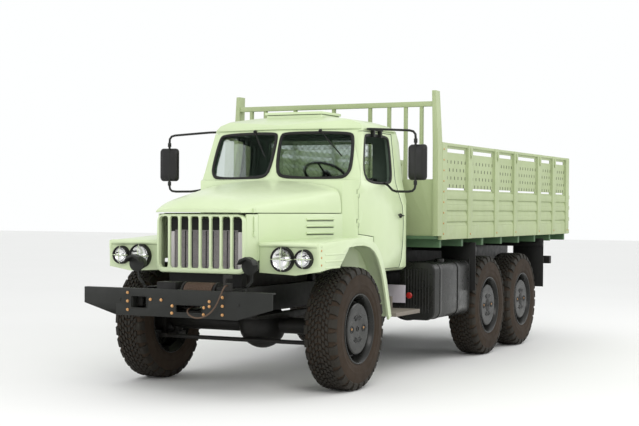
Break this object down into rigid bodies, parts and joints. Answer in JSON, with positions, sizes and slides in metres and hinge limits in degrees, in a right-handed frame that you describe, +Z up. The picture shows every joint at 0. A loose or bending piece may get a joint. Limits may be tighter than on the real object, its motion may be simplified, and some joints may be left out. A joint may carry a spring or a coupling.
{
  "type": "military cargo truck",
  "caption": "Long-bonnet all-wheel-drive cargo truck with a steel cab, winch bumper, steered front wheels, opening doors, bonnet and roof hatch, and an open load bed with a hinged tailgate.",
  "frame": {"origin": "on the ground under the middle of the truck, halfway between the bumper's face and the tailgate's hinges", "axes": "+X towards the driver's side (the truck's left), the nose faces -Y, +Z up"},
  "size_m": [2.978, 8.049, 2.867],
  "materials": {
    "paint": "satin",
    "black": "satin",
    "tyre": "matt, dusty",
    "rubber": "matt",
    "glass": "clear",
    "steel": "worn",
    "cast": "rough",
    "lamp": "bright",
    "vinyl": "satin",
    "plastic": "grained",
    "rope": "oily steel strands",
    "board": "worn"
  },
  "bodies": {
    "truck": {"chassis_frame": "black", "front_bumper": "black", "winch": "black", "winch_rope": "rope", "rope_hook": "steel", "tow_hooks": "black", "engine_block": "cast", "radiator": "steel", "front_axle": "black", "rear_axles": "black", "leaf_springs": "black", "driveline": "cast", "grille_shell": "paint", "engine_side_panels": "paint", "front_fenders": "paint", "headlamps": "lamp", "blackout_lamps": "black", "cab_shell": "paint", "cab_roof": "paint", "cab_glass": "glass", "cab_seats": "vinyl", "dashboard": "plastic", "fuel_tank": "black", "battery_box": "black", "exhaust": "steel", "cab_steps": "board", "rear_mudguards": "rubber", "cargo_floor": "paint", "headboard": "paint", "side_boards": "paint"},
    "left_steering": {"left_knuckle": "black"},
    "right_steering": {"right_knuckle": "black"},
    "front_left_wheel": {"front_left_wheel": "tyre"},
    "front_right_wheel": {"front_right_wheel": "tyre"},
    "middle_left_wheel": {"middle_left_wheel": "tyre"},
    "middle_right_wheel": {"middle_right_wheel": "tyre"},
    "rear_left_wheel": {"rear_left_wheel": "tyre"},
    "rear_right_wheel": {"rear_right_wheel": "tyre"},
    "bonnet": {"bonnet": "paint"},
    "roof_hatch": {"roof_hatch": "paint"},
    "left_door": {"left_door": "paint", "left_mirror": "black"},
    "right_door": {"right_door": "paint", "right_mirror": "black"},
    "steering_wheel": {"steering_wheel": "plastic"},
    "tailgate": {"tailgate": "paint"}
  },
  "joints": [
    {"name": "left_steer", "type": "hinge", "parent": "truck", "child": "left_steering", "pos_m": [0.79, -2.695, 0.5625], "axis": [0, 0, 1], "range_deg": [-30, 30]},
    {"name": "right_steer", "type": "hinge", "parent": "truck", "child": "right_steering", "pos_m": [-0.79, -2.695, 0.5625], "axis": [0, 0, 1], "range_deg": [-30, 30]},
    {"name": "steering_wheel_turn", "type": "hinge", "parent": "truck", "child": "steering_wheel", "pos_m": [0.34, -1.765, 1.985], "axis": [0, 0.5446, 0.8387], "range_deg": [-480, 480]},
    {"name": "front_left_roll", "type": "hinge", "parent": "left_steering", "child": "front_left_wheel", "pos_m": [1, -2.695, 0.5625], "axis": [1, 0, 0], "continuous": true},
    {"name": "middle_left_roll", "type": "hinge", "parent": "truck", "child": "middle_left_wheel", "pos_m": [1, 0.865, 0.5625], "axis": [1, 0, 0], "continuous": true},
    {"name": "rear_left_roll", "type": "hinge", "parent": "truck", "child": "rear_left_wheel", "pos_m": [1, 2.085, 0.5625], "axis": [1, 0, 0], "continuous": true},
    {"name": "left_door_swing", "type": "hinge", "parent": "truck", "child": "left_door", "pos_m": [0.868, -2.145, 1.64], "axis": [0, 0, -1], "range_deg": [0, 70]},
    {"name": "front_right_roll", "type": "hinge", "parent": "right_steering", "child": "front_right_wheel", "pos_m": [-1, -2.695, 0.5625], "axis": [1, 0, 0], "continuous": true},
    {"name": "middle_right_roll", "type": "hinge", "parent": "truck", "child": "middle_right_wheel", "pos_m": [-1, 0.865, 0.5625], "axis": [1, 0, 0], "continuous": true},
    {"name": "rear_right_roll", "type": "hinge", "parent": "truck", "child": "rear_right_wheel", "pos_m": [-1, 2.085, 0.5625], "axis": [1, 0, 0], "continuous": true},
    {"name": "right_door_swing", "type": "hinge", "parent": "truck", "child": "right_door", "pos_m": [-0.868, -2.145, 1.64], "axis": [0, 0, 1], "range_deg": [0, 70]},
    {"name": "bonnet_lift", "type": "hinge", "parent": "truck", "child": "bonnet", "pos_m": [0, -2.315, 1.91], "axis": [-1, 0, 0], "range_deg": [0, 50]},
    {"name": "roof_hatch_lift", "type": "hinge", "parent": "truck", "child": "roof_hatch", "pos_m": [0, -1.357, 2.601], "axis": [-1, 0, 0], "range_deg": [0, 75]},
    {"name": "tailgate_drop", "type": "hinge", "parent": "truck", "child": "tailgate", "pos_m": [0, 3.979, 1.351], "axis": [-1, 0, 0], "range_deg": [0, 170]}
  ],
  "couplings": [
    {"joint": "right_steer", "follows": "left_steer", "ratio": 1},
    {"joint": "steering_wheel_turn", "follows": "left_steer", "ratio": 16}
  ]
}
